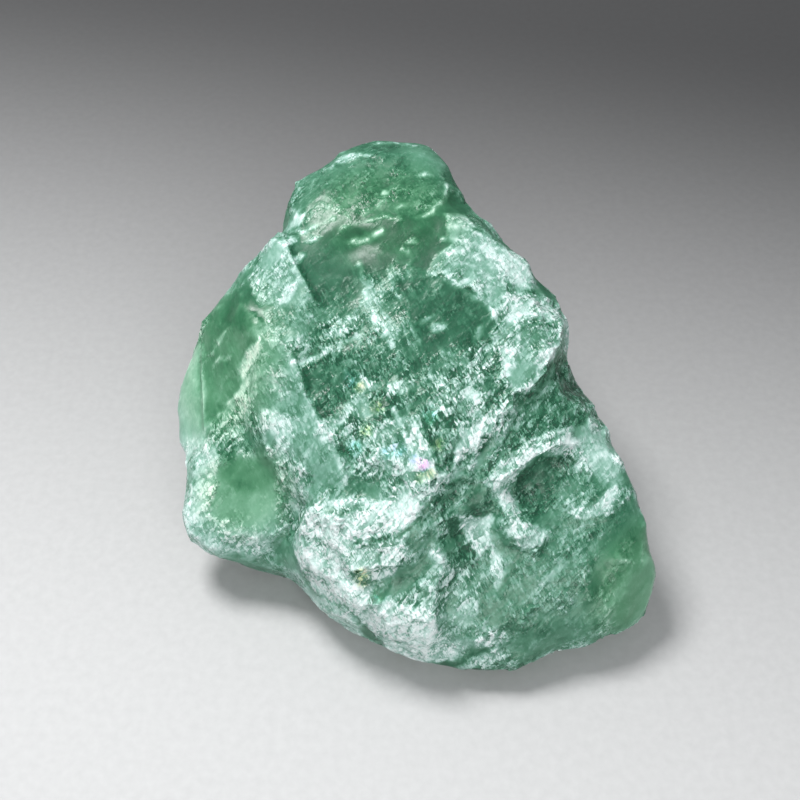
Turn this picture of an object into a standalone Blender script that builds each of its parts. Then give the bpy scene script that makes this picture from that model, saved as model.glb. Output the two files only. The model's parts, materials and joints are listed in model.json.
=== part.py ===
"""A hand-sized rough piece of green fluorite, broken along its cleavage, as one closed solid.

The stone leans back on its flat underside. Its broad broken face is laid out on a face plane of its
own: u runs to the right, v up the slope and w out of the stone. The stone is a cluster of cleavage
blocks with a few thin plates on them. Each is the convex hull of a few corners, and where one stands
proud of its neighbour there is a ledge. They are fused, and the skin is broken into flat chips that
lean towards the cleavage planes. Then the stone is cut off flat where it rests.
"""

import math

import bmesh
import bpy
import numpy as np
from mathutils import Matrix, Vector, noise

MM = 0.001

FACE_LEAN = math.radians(27)  # the broad face, from the horizontal
FACE_HEIGHT = 32  # mm, from the rest plane to the face plane's origin

FUSE_VOXEL = 0.8  # mm, the grain at which the blocks are fused
SKIN = -0.1  # mm, how far out the whole skin is moved
SWELL = 0.8  # mm, the long waves of the fracture
SWELL_LENGTH = 11  # mm
CHIP_SPACING = 4.6  # mm, between the middles of neighbouring chips
CHIP_REACH = (0.7, 1.8)  # how far the smallest and the widest chips spread over their neighbours
CHIP_WANDER = 1.0  # mm, how far a chip's edge strays
STRAY_LENGTH = 4  # mm, between one bend of the edge and the next
CHIP_STRETCH = 1.7  # how much longer a chip is along the ledges than across them
CHIP_SNAP = 0.38  # of the turn from a chip's own slope to the nearest cleavage
CHIP_FLATNESS = 0.9  # of the way that a point moves to its chip's plane
CHIP_SPAN = 18  # mm, from a chip's middle to the furthest point it can have
CHIP_TURN_COST = 7  # mm, of distance, for a chip that faces another way
CHIP_RISE_COST = 4  # times the distance, for a chip that lies higher or lower
CHIP_SEED = 5
BLUNTING = 2  # rounds of smoothing, each over a fuse voxel's width
STONE_TRIANGLES = 11400  # before the rest face is cut, which leaves under 10,000

# Fluorite cleaves on four planes, 70.5 degrees apart. One is the face plane. The others cross it
# along lines 60 degrees apart, and the ledges follow those lines.
CLEAVAGE_ANGLE = math.acos(1 / 3)
CLEAVAGE_TURN = math.radians(-42)
LEDGE_DIRECTION = Vector((math.cos(math.radians(48)), math.sin(math.radians(48)), 0))

STONE_GREEN = (0.10, 0.33, 0.19, 1.0)

# Each block's corners in millimetres: on the face plane as (u, v, w), and underneath as (x, y, z).
BLOCKS = {
    "top_knob": {
        "face": [
            (-24.5, 38.5, -7), (-21.5, 44, -8), (-13.5, 50, -9), (-9, 53.3, -9), (1.5, 53.3, -9),
            (5.8, 49.5, -8), (8, 43, -7), (9.5, 35, -6), (-24, 33, -6),
            (-20, 36, -1), (-10.5, 47, -4), (1.5, 47, -4), (4.5, 38, -1), (5, 28, 2), (-8, 30, 3),
            (-20, 29, 1),
        ],
        "under": [(-16, 34, -2), (4, 38, -2), (10, 28, -2), (-20, 26, -2), (-12, 49, 25), (2, 48, 22)],
    },
    "upper_slab": {
        "face": [
            (8, 39.5, -6), (14.5, 34.5, -6), (22, 25.5, -6), (25.3, 21, -6), (27, 15.5, -5), (26, 10.5, -4),
            (24.8, 8.5, 0.5), (20.7, 3.3, 2.3), (17.2, -0.2, 2.8), (14.6, -5.3, 3.3), (10, -11, 4),
            (3.7, -15.4, 4.5), (1.2, -17.9, 4.5), (-10.5, -16, 1.5), (-16, -4, 1), (-19.5, 4, 0.8),
            (-16.5, 15, 1.2), (-19, 21, 0.8), (-22.5, 29.5, 0), (-2, 31, 2.5), (6, 33, 1), (12, 28, 0),
            (19, 20, -0.5),
        ],
        "under": [(-20, 0, -2), (10, -10, -2), (24, 4, -2), (16, 26, -2), (-14, 28, -2)],
    },
    "upper_flank": {
        "face": [
            (-24.5, 34, -8), (-27.8, 30.2, -10), (-33.7, 24.4, -10), (-37.6, 20, -10), (-40, 15.5, -10),
            (-39.2, 8.3, -10), (-38.3, 2.8, -10), (-37.3, -2.3, -10), (-32.9, 1, -6), (-29.2, 5, -3.5),
            (-23.5, 30.2, 2.2), (-21.7, 24.4, 2.6), (-19.5, 19.7, 2.8), (-16.7, 15.2, 2.6),
            (-20, 11, 2.2), (-26.3, 12.1, 0.8), (-33, 15, -3),
        ],
        "under": [(-28, 12, -2), (-27, -2, -2), (-10, 4, -2), (-18, 26, -2), (-34, 17, 10)],
    },
    "veil_slab": {
        "face": [
            (-27, 12.5, 1.2), (-23.2, 9.4, 2.8), (-20.3, 5.4, 3.2), (-19.2, 0.7, 3.2), (-16.3, -4.4, 3.4),
            (-12.9, -10.4, 3.6), (-10.7, -14.1, 3.6), (-29.5, 7.2, -1.5), (-30, 1, -3.5), (-28.5, -6, -4.5),
            (-25, -11.2, -4.2), (-20.5, -15, -2), (-13, -18, 1.5),
        ],
        "under": [(-27, 2, 2), (-24, -8, -2), (-8, -10, -2), (-14, 8, -2)],
    },
    "far_left_block": {
        "face": [
            (-40.5, 14.4, -14), (-42.8, 11, -14.5), (-44.2, 7.5, -14.5), (-44.8, 2, -14.5),
            (-44.2, -2.7, -14.5),
            (-42.3, -6.8, -14.5), (-36, -9, -14), (-36, 13, -13), (-39.5, 10, -11.5), (-38.5, -3, -11.5),
        ],
        "under": [(-38, 8, 8), (-34, -2, 8), (-28, 6, 2)],
    },
    "left_foot": {
        "face": [
            (-42, -7, -13), (-42.3, -16, -13), (-41.3, -21.7, -14), (-39, -24, -14), (-31, -25, -13),
            (-24, -27, -12), (-21, -26, -12),
            (-37.5, -1.5, -10), (-30, 1, -5), (-37, -7.5, -9), (-37.5, -19, -9.5), (-25, -22.4, -8.5),
            (-24, -15.4, -6.5), (-25, -8, -6),
        ],
        "under": [(-30, -8, 2), (-22, -14, -2), (-8, -18, -2), (-8, -2, -2), (-26, 2, -2)],
    },
    "gully": {
        "face": [
            (-26, -8, -6.5), (-18, -9, -3), (-16.5, -16, -3), (-20, -23, -7), (-23, -27, -11),
            (-12, -27, -7),
        ],
        "under": [(-22, -10, -2), (-10, -20, -2), (-8, -4, -2)],
    },
    "front_hump": {
        "face": [
            (-23, -27, -10.5), (-20.8, -30.3, -10), (-16.8, -34.3, -10), (-10.2, -37.7, -10),
            (-4, -42, -10), (2, -43.7, -9.5),
            (-19.5, -18.5, 0), (-14.5, -16.8, 1.8), (-6.2, -17.3, 3.4), (1, -18.5, 3.4), (4.5, -25, 2),
            (3.7, -38, -1), (-3, -38, -1.8), (-9.5, -33.5, -1.2), (-14.6, -30.5, -2.2), (-19, -26, -2.6),
        ],
        "under": [(-18, -16, -2), (-8, -27, -2), (6, -30, -2), (8, -8, -2), (-10, -4, -2)],
    },
    "lower_wedge": {
        "face": [
            (26.5, 11, -9), (29, 7.5, -9), (33, -1, -8), (37.2, -11.5, -8), (40.9, -22.4, -8),
            (42.3, -30, -9),
            (41.8, -34.3, -9), (37, -37.6, -9), (30, -40.3, -9), (22.4, -43, -9), (14, -45, -9),
            (2, -43.7, -9),
            (22, 8, -3), (27, 1, -3), (32, -8, -3), (37.5, -15.5, -4), (34.4, -19.4, -2.6),
            (31.7, -26.2, -2.8),
            (28.9, -32.9, -3.4), (22, -37.5, -4.4), (8, -40, -3.6), (3, -28, -1), (2, -19, 0), (12, -9, 0),
        ],
        "under": [(6, -31, -2), (22, -26, -2), (30, -10, -2), (24, 8, -2), (4, -8, -2), (36, -16, 8)],
    },
}

# Thin plates that the cleavage has left standing on the broad face. Their corners are (u, v, w).
PLATES = {
    "right_bump": [
        (14.3, 11, 3.6), (14, 18.3, 2.6), (18, 20.5, 1), (25.5, 15, -0.8), (24.6, 9, 1.6), (17.5, 0.8, 4.1),
        (15, 2.5, 4.4),
    ],
    "veil_fan": [
        (1.7, 23, 3.5), (8.5, 21, 3.3), (10.5, 18, 3.3), (13.9, 12.5, 3.2), (6, 34, 1.8),
        (13.5, 31.5, -0.4),
        (20, 24, -1.4),
    ],
    "middle_plate": [
        (-15.5, 10, 2.7), (-4, 14, 3.6), (9, 10, 3.8), (13, 2, 4.2), (3, -14, 5.6), (-9, -12, 4),
        (-14, -2, 3),
    ],
    "foot_rim": [
        (-41, -8, -10.4), (-35.7, -7.5, -7.2), (-35.5, -10, -7.4), (-37, -17, -8),
        (-40.5, -20, -11),
    ],
    "terrace": [
        (27, -6.2, 0), (23.2, -6.2, 0.8), (19, -7.4, 1.2), (15.6, -9.9, 1.6), (11, -14, 2), (5, -21, 2.4),
        (24, 7, -0.8), (18, -0.5, 1.2), (10, -11, 2), (0, -19, 3),
    ],
    "strip": [
        (13.4, -15.7, 1), (16.3, -19.1, 0.9), (21.7, -23.3, -0.1), (19.5, -24.9, -0.3), (15.5, -23.5, 0.3),
        (9, -17, 1.6), (12, -13.5, 1.8),
    ],
    "low_patch": [
        (26.5, -18.2, -1.4), (30.8, -14.8, -1.4), (35, -13.9, -2.4), (34.1, -16.5, -2.2), (30.6, -19, -1.4),
        (30.5, -16.5, -0.4),
    ],
    "hump_plate": [
        (-16, -19.5, 2.4), (-6, -19, 4.2), (1, -21, 4), (0, -28, 2.6), (-8, -29, 2), (-14, -25, 1.4),
    ],
}
PLATE_ROOT = 6  # mm, how deep a plate's foot goes into its block

# The wide smooth chips. Each is the (u, v, w) of its middle and its reach.
WIDE_CHIPS = {
    "far_left_face": ((-42, 3, -12.5), 2.5),
    "left_face": ((-35, 12, -6), 3.2),
    "upper_flank_face": ((-25, 18, 0), 2.2),
    "foot_face": ((-29, -16, -7.5), 3.2),
    "knob_face": ((-3, 44, -3), 2.6),
    "dark_upper_face": ((-14, 22, 1.5), 2.6),
    "green_upper_face": ((-3, 27, 3), 2.6),
    "dark_right_face": ((5, 16, 4), 2.6),
    "fan_face": ((13, 26, 1), 2.4),
    "riser_foot_face": ((22, 0, 0.5), 2.2),
    "wedge_face": ((25, -26, -2), 2.6),
    "corner_face": ((37, -30, -5), 3.2),
}


def clear_scene():
    for obj in list(bpy.data.objects):
        bpy.data.objects.remove(obj)


def face_frame():
    """From the face plane's u, v, w to x, y, z, in millimetres."""
    return Matrix.Translation((0, 0, FACE_HEIGHT)) @ Matrix.Rotation(FACE_LEAN, 4, "X")


def cleavage_normals():
    """The four cleavage normals in x, y, z. The first is the face plane's."""
    normals = [Vector((0, 0, 1))]
    for turn in range(3):
        azimuth = CLEAVAGE_TURN + turn * math.radians(120)
        flat = math.sin(CLEAVAGE_ANGLE)
        across = (flat * math.cos(azimuth), flat * math.sin(azimuth))
        normals.append(Vector((*across, math.cos(CLEAVAGE_ANGLE))))
    rotation = face_frame().to_3x3()
    return [rotation @ normal for normal in normals]


def block_points(block):
    frame = face_frame()
    on_face = [frame @ Vector(corner) for corner in block["face"]]
    beneath = [Vector(corner) for corner in block["under"]]
    return on_face + beneath


def plate_points(plate):
    frame = face_frame()
    tops = [frame @ Vector(corner) for corner in plate]
    roots = [frame @ (Vector(corner) - Vector((0, 0, PLATE_ROOT))) for corner in plate]
    return tops + roots


def add_hull(bm, points):
    """Adds the convex hull of the points, in millimetres, to bm."""
    verts = [bm.verts.new(point * MM) for point in points]
    hull = bmesh.ops.convex_hull(bm, input=verts)
    unused = [v for v in hull["geom_interior"] if isinstance(v, bmesh.types.BMVert)]
    bmesh.ops.delete(bm, geom=unused, context="VERTS")


def object_from(bm, name):
    mesh = bpy.data.meshes.new(name)
    bm.to_mesh(mesh)
    bm.free()
    return bpy.data.objects.new(name, mesh)


def apply_modifiers(obj):
    """Replaces the object's mesh by its evaluated one."""
    bpy.context.view_layer.update()
    evaluated = obj.evaluated_get(bpy.context.evaluated_depsgraph_get())
    mesh = bpy.data.meshes.new_from_object(evaluated)
    obj.modifiers.clear()
    obj.data = mesh


def fuse(obj):
    """Makes one skin of the overlapping blocks."""
    remesh = obj.modifiers.new("fuse", "REMESH")
    remesh.mode = "VOXEL"
    remesh.voxel_size = FUSE_VOXEL * MM
    apply_modifiers(obj)


def sort_by_place(elements, middle):
    """Sorts a mesh's vertices, edges or faces by where their middles are."""
    in_order = sorted(elements, key=lambda element: [round(value / MM, 4) for value in middle(element)])
    ranks = {element: rank for rank, element in enumerate(in_order)}
    elements.sort(key=lambda element: ranks[element])


def put_in_order(bm):
    """Gives the mesh an order of its own, because fusing returns a different one each time."""
    sort_by_place(bm.verts, lambda vertex: vertex.co)
    sort_by_place(bm.edges, lambda edge: (edge.verts[0].co + edge.verts[1].co) / 2)
    sort_by_place(bm.faces, lambda face: face.calc_center_median())


def drop_crumbs(obj):
    """Keeps the largest body, without the crumbs and bubbles that fusing leaves."""
    bm = bmesh.new()
    bm.from_mesh(obj.data)
    unseen = set(bm.verts)
    bodies = []
    while unseen:
        body = {unseen.pop()}
        front = list(body)
        while front:
            vertex = front.pop()
            for edge in vertex.link_edges:
                other = edge.other_vert(vertex)
                if other not in body:
                    body.add(other)
                    front.append(other)
        unseen -= body
        bodies.append(body)
    stone = max(bodies, key=len)
    bmesh.ops.delete(bm, geom=[vertex for vertex in bm.verts if vertex not in stone], context="VERTS")
    put_in_order(bm)
    bm.to_mesh(obj.data)
    bm.free()


def swell(obj):
    """Moves the fused blocks' skin in and out by the long waves of the fracture."""
    normals = [vertex.normal.copy() for vertex in obj.data.vertices]
    for vertex, normal in zip(obj.data.vertices, normals):
        wave = noise.noise(vertex.co / (SWELL_LENGTH * MM) + Vector((3, 8, 1)))
        vertex.co += normal * (SKIN + SWELL * wave) * MM
    obj.data.update()


def chip_middles(points):
    """The wide chips' middles, then points of the skin no nearer together than the chips' spacing."""
    frame = face_frame()
    chosen = np.array([frame @ Vector(middle) for middle, reach in WIDE_CHIPS.values()])
    points = points[np.lexsort(np.round(points, 3).T)]
    order = np.random.default_rng(CHIP_SEED).permutation(len(points))
    for index in order:
        gaps = np.linalg.norm(chosen - points[index], axis=1)
        if gaps.min() > CHIP_SPACING:
            chosen = np.vstack([chosen, points[index]])
    return chosen


def stray(point):
    return [noise.noise(point + Vector((shift, 0, 0))) for shift in (0, 31, 67)]


def nearest_chips(points, normals, middles, facings):
    """Each point's chip: near it, level with it, and facing the way it does."""
    ledge_line = np.array(face_frame().to_3x3() @ LEDGE_DIRECTION)
    reaches = np.random.default_rng(CHIP_SEED).uniform(*CHIP_REACH, len(middles))
    reaches[:len(WIDE_CHIPS)] = [reach for middle, reach in WIDE_CHIPS.values()]
    strayed = points + CHIP_WANDER * np.array([stray(Vector(point) / STRAY_LENGTH) for point in points])
    best = np.full(len(points), np.inf)
    chip_of = np.zeros(len(points), dtype=int)
    for chip, (middle, facing, reach) in enumerate(zip(middles, facings, reaches)):
        near = np.flatnonzero((np.abs(strayed - middle) < CHIP_SPAN).all(axis=1))
        away = strayed[near] - middle
        rise = (away * facing).sum(axis=1)
        along = (away * ledge_line).sum(axis=1)
        spread = (away ** 2).sum(axis=1) - (1 - CHIP_STRETCH ** -2) * along ** 2
        turned = ((normals[near] - facing) ** 2).sum(axis=1)
        cost = spread + (CHIP_RISE_COST ** 2 - 1) * rise ** 2 + CHIP_TURN_COST ** 2 * turned
        cost /= reach ** 2
        better = cost < best[near]
        best[near[better]] = cost[better]
        chip_of[near[better]] = chip
    return chip_of


def snapped(facing, cleavages):
    """A chip's facing, turned part of the way to the nearest cleavage plane's."""
    leans = cleavages @ facing
    nearest = np.argmax(np.abs(leans))
    target = cleavages[nearest] * np.sign(leans[nearest])
    turned = facing + CHIP_SNAP * (target - facing)
    return turned / np.linalg.norm(turned)


def chip(obj):
    """Breaks the skin into flat chips that lie mostly along the cleavage planes."""
    mesh = obj.data
    points = np.array([vertex.co / MM for vertex in mesh.vertices])
    normals = np.array([vertex.normal for vertex in mesh.vertices])
    cleavages = np.array(cleavage_normals())
    middles = chip_middles(points)
    nearest = [np.argmin(((points - middle) ** 2).sum(axis=1)) for middle in middles]
    chip_of = nearest_chips(points, normals, middles, normals[nearest])
    for index in range(len(middles)):
        inside = chip_of == index
        if not inside.any():
            continue
        middle = points[inside].mean(axis=0)
        facing = snapped(normals[inside].mean(axis=0), cleavages)
        rise = (points[inside] - middle) @ facing
        points[inside] -= CHIP_FLATNESS * rise[:, None] * facing
    for vertex, point in zip(mesh.vertices, points):
        vertex.co = Vector(point) * MM
    mesh.update()


def blunt(obj):
    """Takes the keenness off the chips' edges, as handling does."""
    smooth = obj.modifiers.new("blunt", "SMOOTH")
    smooth.factor = 0.5
    smooth.iterations = BLUNTING
    apply_modifiers(obj)


def simplify(obj):
    """Keeps the ridges and ledges in fewer triangles."""
    obj.data.calc_loop_triangles()
    decimate = obj.modifiers.new("simplify", "DECIMATE")
    decimate.ratio = STONE_TRIANGLES / len(obj.data.loop_triangles)
    decimate.use_collapse_triangulate = True
    apply_modifiers(obj)


def cut_at_rest_plane(obj):
    """Cuts away what lies below z = 0."""
    bm = bmesh.new()
    bm.from_mesh(obj.data)
    everything = bm.verts[:] + bm.edges[:] + bm.faces[:]
    bmesh.ops.bisect_plane(bm, geom=everything, plane_co=(0, 0, 0), plane_no=(0, 0, 1), clear_inner=True)
    bm.to_mesh(obj.data)
    bm.free()


def close_and_centre(obj):
    """Closes the cut with the flat rest face, and centres the stone over the origin."""
    bm = bmesh.new()
    bm.from_mesh(obj.data)
    rim = [edge for edge in bm.edges if edge.is_boundary]
    bmesh.ops.triangle_fill(bm, use_beauty=True, use_dissolve=False, edges=rim)
    bmesh.ops.triangulate(bm, faces=bm.faces[:])
    bmesh.ops.recalc_face_normals(bm, faces=bm.faces[:])
    xs = [vertex.co.x for vertex in bm.verts]
    ys = [vertex.co.y for vertex in bm.verts]
    middle = Vector(((max(xs) + min(xs)) / 2, (max(ys) + min(ys)) / 2, 0))
    bmesh.ops.translate(bm, verts=bm.verts[:], vec=-middle)
    bm.to_mesh(obj.data)
    bm.free()


def fluorite_material():
    material = bpy.data.materials.new("green_fluorite")
    material.use_nodes = True
    shader = material.node_tree.nodes["Principled BSDF"]
    shader.inputs["Base Color"].default_value = STONE_GREEN
    shader.inputs["Roughness"].default_value = 0.25
    shader.inputs["IOR"].default_value = 1.434
    shader.inputs["Metallic"].default_value = 0.0
    return material


def build_stone():
    bm = bmesh.new()
    for block in BLOCKS.values():
        add_hull(bm, block_points(block))
    for plate in PLATES.values():
        add_hull(bm, plate_points(plate))
    stone = object_from(bm, "fluorite_stone")
    collection = bpy.data.collections.new("fluorite_specimen")
    bpy.context.scene.collection.children.link(collection)
    collection.objects.link(stone)
    fuse(stone)
    drop_crumbs(stone)
    swell(stone)
    chip(stone)
    fuse(stone)
    drop_crumbs(stone)
    blunt(stone)
    simplify(stone)
    cut_at_rest_plane(stone)
    drop_crumbs(stone)
    close_and_centre(stone)
    stone.data.materials.append(fluorite_material())
    return stone


clear_scene()
build_stone()
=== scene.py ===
"""Looks for the rough green fluorite stone.

The stone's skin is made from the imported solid. It is refined, drawn flat where it is glassy, given
crisp ledges, chipped finely along the cleavage planes, and given one translucent material. Its marks
are laid out on a face plane: u runs to the right, v up the slope, and w out of the stone, in mm.
"""

import json
import math

import bpy
import numpy as np
from mathutils import Matrix, Vector, kdtree, noise

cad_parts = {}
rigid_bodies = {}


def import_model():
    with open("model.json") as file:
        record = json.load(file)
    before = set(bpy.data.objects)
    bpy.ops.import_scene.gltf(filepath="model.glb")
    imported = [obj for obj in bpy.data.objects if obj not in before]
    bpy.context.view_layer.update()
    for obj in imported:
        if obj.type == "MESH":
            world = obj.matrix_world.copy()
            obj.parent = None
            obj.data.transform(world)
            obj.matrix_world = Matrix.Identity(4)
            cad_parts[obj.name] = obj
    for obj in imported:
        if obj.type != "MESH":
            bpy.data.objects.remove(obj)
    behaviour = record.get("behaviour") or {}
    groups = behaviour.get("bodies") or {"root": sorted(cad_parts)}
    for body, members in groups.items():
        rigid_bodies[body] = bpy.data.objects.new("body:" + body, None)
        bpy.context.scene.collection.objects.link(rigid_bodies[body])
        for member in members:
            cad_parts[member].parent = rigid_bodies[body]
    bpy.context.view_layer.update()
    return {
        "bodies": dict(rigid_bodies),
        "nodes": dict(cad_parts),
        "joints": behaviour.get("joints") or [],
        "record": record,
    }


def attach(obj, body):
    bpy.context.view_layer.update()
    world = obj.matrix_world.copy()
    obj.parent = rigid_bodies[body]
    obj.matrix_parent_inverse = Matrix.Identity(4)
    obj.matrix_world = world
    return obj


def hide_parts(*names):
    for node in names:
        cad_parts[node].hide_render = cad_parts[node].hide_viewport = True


MM = 0.001
STONE_NODE = "fluorite_stone"

# The face plane: its origin in the row's frame, its lean, and the turn of the ledges on it.
FACE_ORIGIN = Vector((1.26, -7.99, 32))
FACE_LEAN = math.radians(27)
LEDGE_TURN = math.radians(48)
STEEP_TURN = math.radians(-64)
CLEAVAGE_ANGLE = math.acos(1 / 3)

# The camera, from the face plane's origin.
VIEW_ELEVATION = math.radians(50)
VIEW_DISTANCE = 226.7  # mm
VIEW_SHIFT = (-2.9, 0.5)  # mm, to the right and up in the view
VIEW_LENS = 60  # mm
VIEW_SENSOR = 36  # mm
VIEW_NEAREST = 0.01  # m, the nearest that the camera sees

# The studio: each lamp's name, its place, what it is aimed at and its width in m, and its power in W.
LAMPS = [
    ("window", (-0.19, 0.17, 0.48), (0, 0, 0.02), 0.20, 3.4),
    ("front_fill", (0.10, -0.50, 0.38), (0, -0.02, 0.02), 0.40, 1.9),
]
SKY_COLOUR = (0.93, 0.97, 1, 1)
SKY_STRENGTH = 0.40
FLOOR_WIDTH = 4  # m
# The floor is pale near the stone, with painted shade that darkens it away from the camera.
FLOOR_NEAR = (0.50, 0.50, 0.50, 1)
FLOOR_PAINTED_SHADE = (0.042, 0.042, 0.043, 1)
FLOOR_FADE = (-0.085, 0.16)  # m, from where the near colour starts to fade into the painted shade to where it has
FLOOR_SLANT = 0.2  # how much sooner the painted shade comes towards the right
FLOOR_GRAIN = 0.0016  # m
FLOOR_GRAIN_TONES = (0.3, 0.7, 0.965, 1.035)  # from the grain's noise, how light the floor is
FLOOR_ROUGHNESS = 0.75

# The skin.
SKIN_VOXEL = 0.5  # mm
LEAST_ROUGHNESS = 0.2  # of the roughest place's
ROUGH_SPARKLES = (0.1, 0.5)  # the sparkle of the smoothest places, and of the roughest
CALM_ROUNDS = 40  # how often the glassy places are smoothed
CALM_SHARE = 0.9  # how far they go towards that
WORN_SPOT = ((40.5, -20.5), 5, 4, -70)  # a worn corner on the right edge
WORN_ROUNDS = 80
CHIP_TURN_COST = 2.5  # mm, of distance, for a chip that faces another way
CHIP_REACH = (0.6, 1.7)  # how far the smallest and the widest chips spread over their neighbours
CHIP_CHOICES = 12  # how many of the nearest chips each point chooses from
GRAIN_HEIGHT = 0.04  # mm
GRAIN_LENGTH = 1.3  # mm
RESTING_NORMAL = -0.7  # how far down the skin faces where it rests
SHARP_ANGLE = math.radians(24)

# The sizes of chips, largest first: how many there are, how much of the turn to the nearest cleavage
# plane they make, how flat they are, and how far in mm one stands above or below its neighbours.
CHIP_SIZES = [
    (650, 0.25, 0.35, 0.22),
    (5600, 0.40, 0.70, 0.09),
]

# Crisp ledges on the broad face: the (u, v) along the ledge, the height of the step, and how far back
# the raised side takes to fall away, both in mm. The raised side is on the left, or on the right where
# the height is negative.
LEDGES = [
    ([(-17, 16), (-19, 20.5), (-21.3, 24.7), (-23.2, 30)], 0.9, 4.0),
    ([
        (-11.2, -15), (-12.9, -9.8), (-15.4, -5.2), (-18.6, 0.1), (-19.5, 4.4), (-21.7, 8.8),
        (-25.3, 12.6),
    ], 0.8, 5.0),
    ([(-37.2, -4.6), (-37.8, 2.6), (-38.3, 8), (-38.4, 13)], -0.9, 3.0),
    ([
        (24.8, 10.5), (22.4, 7.4), (21.8, 5), (18.8, 1.6), (16.6, 0.8), (16.4, -1.8), (13.2, -3),
        (12.8, -5.8), (10.4, -6.6), (9.8, -9), (7.2, -9.6), (5.6, -12.8), (3.8, -13.6), (2.2, -16.6),
    ], -0.9, 4.0),
    ([(28, -6.6), (23, -7.6), (18.6, -10.4), (14.3, -13.2), (12.6, -16.2)], -0.7, 2.0),
    ([(22.4, -21.6), (19.8, -25.2), (15.4, -23.8), (12.4, -18.4)], -0.5, 2.0),
    ([(-0.5, -1.5), (1.2, -6.5), (2.6, -11.5), (3.6, -15.6)], -0.5, 1.6),
    ([(13.8, 12), (13.4, 15.6), (8, 19.2), (2.4, 22)], 0.5, 5.0),
]
LEDGE_SNAP = 0.3  # mm, how near the ledge's line a point is moved onto it
LEDGE_END = 2.5  # mm, over which a ledge fades out at its ends
LEDGE_FACING = (0.1, 0.4)  # the facings between which a ledge grows
RIM_TONE = 0.15  # how much lighter a ledge's rim is
RIM_WIDTH = 0.4  # mm

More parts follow.
